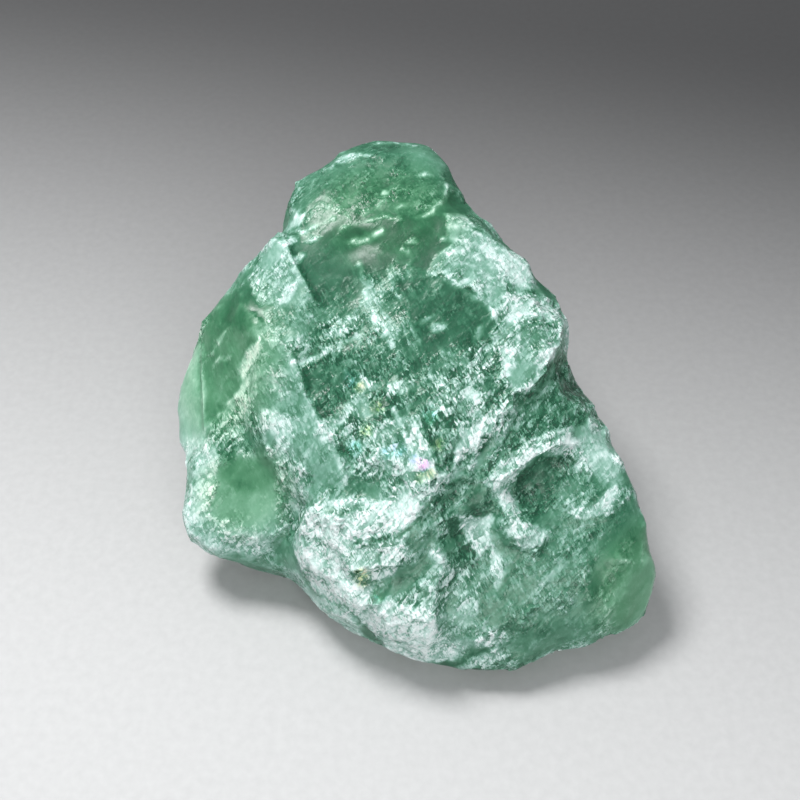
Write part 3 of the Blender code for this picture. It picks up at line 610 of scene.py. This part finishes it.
class Graph:
    """A short way to write a material's nodes."""

    def __init__(self, material):
        material.use_nodes = True
        self.tree = material.node_tree
        self.shader = self.tree.nodes["Principled BSDF"]
        self.output = self.tree.nodes["Material Output"]

    def add(self, kind, values=None, **settings):
        node = self.tree.nodes.new(kind)
        for name, value in settings.items():
            setattr(node, name, value)
        for name, value in (values or {}).items():
            self.put(value, node.inputs[name])
        return node

    def put(self, value, socket):
        if isinstance(value, bpy.types.NodeSocket):
            self.tree.links.new(value, socket)
        else:
            socket.default_value = value

    def math(self, operation, first, second=0.0):
        return self.add("ShaderNodeMath", {0: first, 1: second}, operation=operation).outputs[0]

    def product(self, first, second):
        return self.math("MULTIPLY", first, second)

    def total(self, first, *others):
        for other in others:
            first = self.math("ADD", first, other)
        return first

    def vector(self, operation, first, second=(0, 0, 0)):
        return self.add("ShaderNodeVectorMath", {0: first, 1: second}, operation=operation).outputs[0]

    def scaled(self, vector, scale):
        return self.add("ShaderNodeVectorMath", {0: vector, "Scale": scale}, operation="SCALE").outputs[0]

    def fit(self, value, low, high, start=0.0, end=1.0, smooth=False):
        """From start to end while value goes from low to high."""
        ends = {"Value": value, "From Min": low, "From Max": high, "To Min": start, "To Max": end}
        kind = "SMOOTHSTEP" if smooth else "LINEAR"
        return self.add("ShaderNodeMapRange", ends, interpolation_type=kind).outputs["Result"]

    def blend(self, share, first, second):
        node = self.add("ShaderNodeMix", data_type="RGBA")
        factor, start, end = (node.inputs[index] for index in (0, 6, 7))
        self.put(share, factor)
        self.put(first, start)
        self.put(second, end)
        return node.outputs[2]

    def attribute(self, name):
        return self.add("ShaderNodeAttribute", attribute_name=name).outputs["Fac"]

    def noise(self, place, size, detail=2.0, roughness=0.5, output="Fac"):
        """Noise whose waves are about size long."""
        values = {"Vector": place, "Scale": 1 / size, "Detail": detail, "Roughness": roughness}
        return self.add("ShaderNodeTexNoise", values).outputs[output]

    def turned(self, place, turn, stretch):
        """The place in the face plane's frame, in mm, squeezed along the turn's direction."""
        values = {"Vector": place, "Rotation": (-FACE_LEAN, 0, -turn)}
        turned = self.add("ShaderNodeMapping", values).outputs[0]
        return self.vector("MULTIPLY", turned, (1 / (MM * stretch), 1 / MM, 1 / MM))

    def flakes(self, place, size):
        """A tone for each flake, about size across, with painted shading that rises towards one of its
        sides, as on a tilted facet.
        """
        cells = self.add("ShaderNodeTexVoronoi", {"Vector": place, "Scale": 1 / size})
        lean = self.vector("SUBTRACT", cells.outputs["Color"], (0.5, 0.5, 0.5))
        offset = self.vector("SUBTRACT", place, cells.outputs["Position"])
        # Painted shading across each flake, as if its facet were tilted to the light.
        rise = self.add("ShaderNodeVectorMath", {0: offset, 1: lean}, operation="DOT_PRODUCT")
        tone = self.add("ShaderNodeSeparateColor", {0: cells.outputs["Color"]}).outputs[2]
        return self.total(tone, self.product(rise.outputs["Value"], FLAKE_SHADING_SLOPE / size))

    def streaks(self, place, stretch, size, *detail):
        """Noise drawn out along the place's first axis."""
        return self.noise(self.vector("MULTIPLY", place, stretch), size, *detail)


def floor_material():
    material = bpy.data.materials.new("studio_floor")
    graph = Graph(material)
    place = graph.add("ShaderNodeTexCoord").outputs["Object"]
    apart = graph.add("ShaderNodeSeparateXYZ", {0: place})
    # Painted shade: the floor darkens away from the camera and towards the right.
    far = graph.total(apart.outputs["Y"], graph.product(apart.outputs["X"], FLOOR_SLANT))
    tone = graph.blend(graph.fit(far, *FLOOR_FADE, smooth=True), FLOOR_NEAR, FLOOR_PAINTED_SHADE)
    grain = graph.noise(place, FLOOR_GRAIN, FINE_DETAIL)
    tone = graph.scaled(tone, graph.fit(grain, *FLOOR_GRAIN_TONES))
    graph.put(tone, graph.shader.inputs["Base Color"])
    graph.shader.inputs["Roughness"].default_value = FLOOR_ROUGHNESS
    return material


def make_floor():
    bpy.ops.mesh.primitive_plane_add(size=FLOOR_WIDTH)
    floor = bpy.context.object
    floor.name = "studio_floor"
    floor.data.materials.append(floor_material())


def coordinates(mesh):
    values = np.empty(len(mesh.vertices) * 3)
    mesh.vertices.foreach_get("co", values)
    return values.reshape(-1, 3) / MM


def vertex_normals(mesh):
    return np.array([vertex.normal[:] for vertex in mesh.vertices])


def put_coordinates(mesh, points):
    mesh.vertices.foreach_set("co", (points * MM).ravel())
    mesh.update()


def on_face(points):
    """The points in the face plane's frame."""
    to_face = np.array(face_frame().inverted())
    return points @ to_face[:3, :3].T + to_face[:3, 3]


def facing_out(normals):
    """How far each normal turns to the face plane's side, from -1 to 1."""
    return normals @ np.array(face_frame().to_3x3() @ Vector((0, 0, 1)))


def step(values, low, high):
    share = np.clip((values - low) / (high - low), 0, 1)
    return share * share * (3 - 2 * share)


def noise_field(points, size, offset):
    shift = Vector((offset, offset * 0.7, -offset))
    return np.array([noise.noise(Vector(point) / size + shift) for point in points])


def refined_copy(node):
    """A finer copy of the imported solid."""
    stone = linked(bpy.data.objects.new("stone_skin", node.data.copy()))
    stone.data.materials.clear()
    remesh = stone.modifiers.new("refine", "REMESH")
    remesh.mode = "VOXEL"
    remesh.voxel_size = SKIN_VOXEL * MM
    bpy.context.view_layer.update()
    evaluated = stone.evaluated_get(bpy.context.evaluated_depsgraph_get())
    fine = bpy.data.meshes.new_from_object(evaluated)
    stone.modifiers.clear()
    stone.data = fine
    return stone


def line_gaps(u, v, line):
    """How far each (u, v) is from the line, positive on its left, and the way to the nearest point."""
    best = np.full(len(u), np.inf)
    side = np.ones(len(u))
    way = np.zeros((len(u), 2))
    for (u0, v0), (u1, v1) in zip(line, line[1:]):
        du, dv = u1 - u0, v1 - v0
        share = np.clip(((u - u0) * du + (v - v0) * dv) / (du * du + dv * dv), 0, 1)
        away = np.stack([u0 + share * du - u, v0 + share * dv - v], axis=1)
        gap = np.hypot(*away.T)
        nearer = gap < best
        best[nearer] = gap[nearer]
        side[nearer] = np.sign(du * (v - v0) - dv * (u - u0))[nearer]
        way[nearer] = away[nearer]
    return best * side, way


def cut_ledges(stone):
    """Raises one side of each ledge's line, so that it ends in a crisp step."""
    points = coordinates(stone.data)
    local = on_face(points)
    fronting = step(facing_out(vertex_normals(stone.data)), *LEDGE_FACING)
    for line, height, reach in LEDGES:
        gap, way = line_gaps(local[:, 0], local[:, 1], line)
        ends = np.minimum(*(np.hypot(local[:, 0] - u, local[:, 1] - v) for u, v in (line[0], line[-1])))
        fade = fronting * step(ends, 0, LEDGE_END)
        near = (np.abs(gap) < LEDGE_SNAP) & (fronting > 0.5)
        local[near, :2] += way[near]
        side = gap * np.sign(height) > -LEDGE_SNAP
        local[:, 2] += abs(height) * fade * side * np.exp(-np.abs(gap) / reach)
    frame = np.array(face_frame())
    put_coordinates(stone.data, local @ frame[:3, :3].T + frame[:3, 3])


def snapped(facings, cleavages, share):
    """The facings, each turned that share of the way to the nearest cleavage plane's."""
    leans = facings @ cleavages.T
    nearest = np.abs(leans).argmax(axis=1)
    signs = np.sign(leans[np.arange(len(facings)), nearest])
    turned = facings + share * (cleavages[nearest] * signs[:, None] - facings)
    return turned / np.linalg.norm(turned, axis=1)[:, None]


def nearest_chips(points, normals, middles, rng):
    """Each point's chip, of the cleavage's own eight-sided form: near it, and facing the way it does."""
    tree = kdtree.KDTree(len(middles))
    for index, middle in enumerate(middles):
        tree.insert(points[middle], index)
    tree.balance()
    choices = np.array([[found[1] for found in tree.find_n(point, CHIP_CHOICES)] for point in points])
    reaches = rng.uniform(*CHIP_REACH, len(middles))
    away = points[:, None, :] - points[middles][choices]
    spread = np.abs(away @ cleavage_normals().T).max(axis=2)
    turned = np.linalg.norm(normals[:, None, :] - normals[middles][choices], axis=2)
    best = ((spread + CHIP_TURN_COST * turned) / reaches[choices]).argmin(axis=1)
    return choices[np.arange(len(points)), best]


def chip_means(values, chip_of, count):
    sizes = np.maximum(np.bincount(chip_of, minlength=count), 1)
    sums = [np.bincount(chip_of, weights=column, minlength=count) for column in values.T]
    return np.array(sums).T / sizes[:, None]


def calm(stone, roughness):
    """Draws the smooth places of the skin flat, and wears one point off its right edge."""
    mesh = stone.data
    edges = edge_ends(mesh)
    points = coordinates(mesh)
    points += ((1 - roughness) * CALM_SHARE)[:, None] * (smoothed(points, edges, CALM_ROUNDS) - points)
    local = on_face(points)
    worn = spot_mask(local[:, 0], local[:, 1], WORN_SPOT)
    points += worn[:, None] * (smoothed(points, edges, WORN_ROUNDS) - points)
    put_coordinates(mesh, points)


def chip(stone, roughness, count, snap, flatness, jog):
    """Breaks the skin into flat chips, some a little higher and some a little lower."""
    points = coordinates(stone.data)
    normals = vertex_normals(stone.data)
    rng = np.random.default_rng(count)
    middles = rng.choice(len(points), count, replace=False)
    chip_of = nearest_chips(points, normals, middles, rng)
    centres = chip_means(points, chip_of, count)
    facings = chip_means(normals, chip_of, count)
    facings /= np.maximum(np.linalg.norm(facings, axis=1), 1e-9)[:, None]
    facings = snapped(facings, cleavage_normals(), snap)
    rise = ((points - centres[chip_of]) * facings[chip_of]).sum(axis=1)
    shift = roughness * (rng.uniform(-jog, jog, count)[chip_of] - flatness * rise)
    put_coordinates(stone.data, points + shift[:, None] * facings[chip_of])


def finish_skin(stone, roughness):
    """Grains the skin, and flattens it where the stone rests."""
    points = coordinates(stone.data)
    normals = vertex_normals(stone.data)
    grained = points + normals * (roughness * GRAIN_HEIGHT * noise_field(points, GRAIN_LENGTH, 0))[:, None]
    resting = (points[:, 2] < SKIN_VOXEL) & (normals[:, 2] < RESTING_NORMAL)
    grained[resting, 2] = 0
    grained[:, 2] = np.maximum(grained[:, 2], 0)
    put_coordinates(stone.data, grained)


def edge_ends(mesh):
    ends = np.empty(len(mesh.edges) * 2, dtype=np.int32)
    mesh.edges.foreach_get("vertices", ends)
    return ends.reshape(-1, 2)


def smoothed(points, edges, rounds):
    """The points, each moved to the middle of its neighbours, rounds times."""
    ends = np.concatenate([edges[:, 0], edges[:, 1]])
    others = np.concatenate([edges[:, 1], edges[:, 0]])
    counts = np.maximum(np.bincount(ends, minlength=len(points)), 1)[:, None]
    for _ in range(rounds):
        sums = [np.bincount(ends, weights=column[others], minlength=len(points)) for column in points.T]
        points = np.array(sums).T / counts
    return points


def outline_mask(u, v, outline):
    """1 inside the outline and 0 outside, with a soft edge."""
    gap = np.abs(line_gaps(u, v, outline + outline[:1])[0])
    inside = np.zeros(len(u), dtype=bool)
    for (u0, v0), (u1, v1) in zip(outline, outline[1:] + outline[:1]):
        if v0 != v1:
            inside ^= ((v0 > v) != (v1 > v)) & (u < u0 + (v - v0) * (u1 - u0) / (v1 - v0))
    return step(np.where(inside, gap, -gap), -OUTLINE_SOFTNESS, OUTLINE_SOFTNESS)


def spot_mask(u, v, spot):
    """1 in the middle of an oval spot, falling to 0 at its edge."""
    middle, length, width, turn = spot
    c, s = math.cos(math.radians(turn)), math.sin(math.radians(turn))
    du, dv = u - middle[0], v - middle[1]
    reach = np.hypot((du * c + dv * s) / length, (dv * c - du * s) / width)
    return 1 - step(reach, 1 - SPOT_SOFTNESS, 1 + SPOT_SOFTNESS)


def spots_mask(u, v, spots):
    return np.max([spot_mask(u, v, spot) for spot in spots], axis=0)


def set_attribute(mesh, name, values):
    attribute = mesh.attributes.new(name, "FLOAT", "POINT")
    attribute.data.foreach_set("value", values.astype(np.float32))


def wander(points, way):
    """How far in mm the marks stray that way, so that their outlines look broken."""
    shift = NOISE_SHIFTS[way]
    return sum(reach * noise_field(points, size, shift + more) for reach, size, more in WANDER)


def lay(marks, mask, tone, sparkle):
    """Draws the tone and the sparkle towards these, as far as the mask says."""
    marks["tone"] += mask * (tone - marks["tone"])
    marks["sparkle"] += mask * (sparkle - marks["sparkle"])


def lay_patches(marks, u, v, fronting):
    for shape, tone, sparkle, cover in PATCHES:
        mask = outline_mask(u, v, shape) if isinstance(shape, list) else spot_mask(u, v, shape)
        lay(marks, mask * (cover * fronting), tone, sparkle)


def draw_lines(marks, u, v, fronting, broken):
    """Draws the strokes, and the lighter rims of the ledges."""
    for line, width, tone in STROKES:
        mask = fronting * (1 - BROKEN_SHARE + BROKEN_SHARE * broken)
        lay(marks, mask * np.exp(-((line_gaps(u, v, line)[0] / width) ** 2)), tone, STROKE_SPARKLE)
    for line, height, _ in LEDGES:
        gap = line_gaps(u, v, line)[0] * np.sign(height)
        marks["tone"] += RIM_TONE * broken * fronting * np.exp(-((gap - RIM_WIDTH) / RIM_WIDTH) ** 2)


def read_marks(mesh):
    """Each point's tone and sparkle, its flakes' direction and its tints, by the attributes' names."""
    points = coordinates(mesh)
    fronting = step(facing_out(vertex_normals(mesh)), *MARK_FACING)
    local = on_face(points)
    u = local[:, 0] + wander(points, "u")
    v = local[:, 1] + wander(points, "v")
    broad = noise_field(points, BROAD_SIZE, NOISE_SHIFTS["broad"])
    ripple = noise_field(points, RIPPLE_SIZE, NOISE_SHIFTS["ripple"])
    broken = step(noise_field(points, BROKEN_SIZE, NOISE_SHIFTS["broken"]), *BROKEN_RANGE)
    tone_swing, sparkle_swing = DEFAULT_SWINGS
    marks = {
        "tone": DEFAULT_TONE + tone_swing * broad + tone_swing * ripple,
        "sparkle": DEFAULT_SPARKLE + sparkle_swing * ripple,
        "steep": fronting * spots_mask(u, v, STEEP_SPOTS),
        "leaf": HIDDEN_LEAF * (1 - fronting) + fronting * spots_mask(u, v, LEAF_SPOTS),
    }
    lay_patches(marks, u, v, fronting)
    draw_lines(marks, u, v, fronting, broken)
    # Painted rainbow glints, fading out from each spot.
    reaches = [np.hypot(u - spot[0], v - spot[1]) / radius for spot, radius, _ in PAINTED_IRIS_GLINTS]
    painted_glints = [1 - step(reach, *IRIS_FADE) for reach in reaches]
    marks["painted_iris"] = fronting * np.max(painted_glints, axis=0)
    marks["hue"] = np.array([hue for *_, hue in PAINTED_IRIS_GLINTS])[np.argmax(painted_glints, axis=0)]
    return marks


def paint(stone, marks):
    """Writes the marks into attributes, with a painted highlight on raised edges and painted shade in
    nooks.
    """
    mesh = stone.data
    points = coordinates(mesh)
    around = smoothed(points, edge_ends(mesh), EDGE_ROUNDS)
    raised = ((points - around) * vertex_normals(mesh)).sum(axis=1)
    # Painted highlight on raised edges, painted shade in nooks.
    marks["tone"] += EDGE_PAINTED_HIGHLIGHT * step(raised, *EDGE_HEIGHTS) - NOOK_PAINTED_SHADE * step(-raised, *NOOK_DEPTHS)
    for name, values in marks.items():
        set_attribute(mesh, name, values)


def tone_ramp(graph, level):
    brightest = TONES[-1][0]
    ramp = graph.add("ShaderNodeValToRGB", {0: graph.math("MULTIPLY", level, 1 / brightest)})
    elements = ramp.color_ramp.elements
    for index, (tone, colour) in enumerate(TONES):
        element = elements[index] if index < 2 else elements.new(tone / brightest)
        element.position = tone / brightest
        element.color = colour
    return ramp.outputs["Color"]


def ragged_places(graph):
    """The place in mm with ragged edges, turned along the ledges and along the steep flow."""
    place = graph.add("ShaderNodeTexCoord").outputs["Object"]
    along = graph.turned(place, LEDGE_TURN, FLAKE_LENGTH)
    steep = graph.turned(place, STEEP_TURN, FLAKE_LENGTH)
    ragged = graph.noise(along, RAGGED_SIZE, FINE_DETAIL, RAGGED_ROUGHNESS, "Color")
    ragged = graph.scaled(graph.vector("SUBTRACT", ragged, (0.5, 0.5, 0.5)), RAGGED_REACH)
    return graph.vector("ADD", along, ragged), graph.vector("ADD", steep, ragged)


def flake_layers(graph, along, steep):
    """The tones of each kind of flake. Chips and fibres follow the steep flow where there is one."""
    flow = graph.attribute("steep")
    sizes = FLAKE_SIZES
    chips = [graph.flakes(place, sizes["chips"]) for place in (along, steep)]
    stretched = (FIBRE_STRETCH, sizes["fibres"], SOFT_DETAIL)
    fibres = [graph.streaks(place, *stretched) for place in (along, steep)]
    return {
        "plates": graph.flakes(along, sizes["plates"]),
        "chips": graph.fit(flow, 0.0, 1.0, *chips),
        "slivers": graph.flakes(graph.vector("MULTIPLY", steep, SLIVER_STRETCH), sizes["slivers"]),
        "fibres": graph.fit(flow, 0.0, 1.0, *fibres),
    }


def skin_level(graph, along, steep, flakes, facets, sparkle):
    """How light each place is, with its flakes, clouds, wisps and painted glints."""
    crisp = graph.fit(facets, *FLAKE_TONES, smooth=True)
    clouds = graph.fit(graph.noise(along, CLOUD_SIZE, SOFT_DETAIL), *CLOUD_TONES)
    level = graph.product(crisp, graph.fit(sparkle, *SPARKLE_SWING))
    level = graph.total(level, graph.total(graph.attribute("tone"), clouds))
    wisps = graph.streaks(steep, WISP_STRETCH, WISP_SIZE, FINE_DETAIL, WISP_ROUGHNESS)
    wisps = graph.fit(wisps, *WISP_RANGE)
    wisps = graph.product(wisps, graph.fit(sparkle, *WISP_TONES))
    # Painted glints: bright slivers on bright chips, lighter where the sparkle is higher.
    bright_slivers = graph.fit(flakes["slivers"], *BRIGHT_SLIVERS)
    painted_glints = graph.product(bright_slivers, graph.fit(flakes["chips"], *BRIGHT_CHIPS))
    painted_glints = graph.product(painted_glints, graph.fit(sparkle, *PAINTED_GLINT_TONES))
    lighter = graph.product(graph.total(wisps, painted_glints), graph.fit(level, *ROOM_ABOVE))
    return graph.total(level, lighter)


def tinted(graph, colour, flakes):
    """The colour, warmer where the leaf marks are, and with the painted rainbow glints."""
    leaf = graph.blend(graph.attribute("leaf"), (1, 1, 1, 1), LEAF_TINT)
    colour = graph.vector("MULTIPLY", colour, leaf)
    hue = graph.total(graph.attribute("hue"), graph.fit(flakes["plates"], *HUE_DRIFT))
    shade = {0: hue, 1: IRIS_SATURATION, 2: IRIS_VALUE}
    rainbow = graph.add("ShaderNodeCombineColor", shade, mode="HSV").outputs[0]
    # Painted rainbow glints over the colour.
    rainbow_glint_share = graph.product(graph.attribute("painted_iris"), graph.fit(flakes["chips"], *RAINBOW_GLINT_SHARE))
    return graph.vector("MULTIPLY", colour, graph.blend(rainbow_glint_share, (1, 1, 1, 1), rainbow))


def fluorite_material():
    material = bpy.data.materials.new("green_fluorite")
    graph = Graph(material)
    along, steep = ragged_places(graph)
    patchy = graph.fit(graph.noise(along, PATCHY_SIZE, SOFT_DETAIL), *PATCHY_SPARKLE)
    sparkle = graph.product(graph.attribute("sparkle"), patchy)
    flakes = flake_layers(graph, along, steep)
    facets = graph.total(*(graph.product(flakes[kind], share) for kind, share in FLAKE_SHARES.items()))
    level = skin_level(graph, along, steep, flakes, facets, sparkle)

    shader = graph.shader.inputs
    graph.put(tinted(graph, tone_ramp(graph, level), flakes), shader["Base Color"])
    graph.put(graph.fit(level, *CLEARNESS), shader["Transmission Weight"])
    graph.put(graph.fit(sparkle, *DULLNESS), shader["Roughness"])
    shader["IOR"].default_value = FLUORITE_IOR
    relief = graph.product(facets, graph.fit(sparkle, *RELIEF))
    bump = graph.add("ShaderNodeBump", {"Height": relief, "Strength": 1.0, "Distance": BUMP_HEIGHT})
    graph.put(bump.outputs[0], shader["Normal"])
    inside = {"Color": ABSORPTION_COLOUR, "Density": ABSORPTION_DENSITY}
    volume = graph.add("ShaderNodeVolumeAbsorption", inside)
    graph.put(volume.outputs[0], graph.output.inputs["Volume"])
    return material


def make_stone(node):
    stone = refined_copy(node)
    marks = read_marks(stone.data)
    roughness = LEAST_ROUGHNESS + (1 - LEAST_ROUGHNESS) * step(marks["sparkle"], *ROUGH_SPARKLES)
    calm(stone, roughness)
    cut_ledges(stone)
    for chip_size in CHIP_SIZES:
        chip(stone, roughness, *chip_size)
    finish_skin(stone, roughness)
    paint(stone, marks)
    stone.data.polygons.foreach_set("use_smooth", [True] * len(stone.data.polygons))
    stone.data.set_sharp_from_angle(angle=SHARP_ANGLE)
    stone.data.materials.append(fluorite_material())
    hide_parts(STONE_NODE)
    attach(stone, "root")


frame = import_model()
make_camera()
make_studio()
make_floor()
make_stone(frame["nodes"][STONE_NODE])
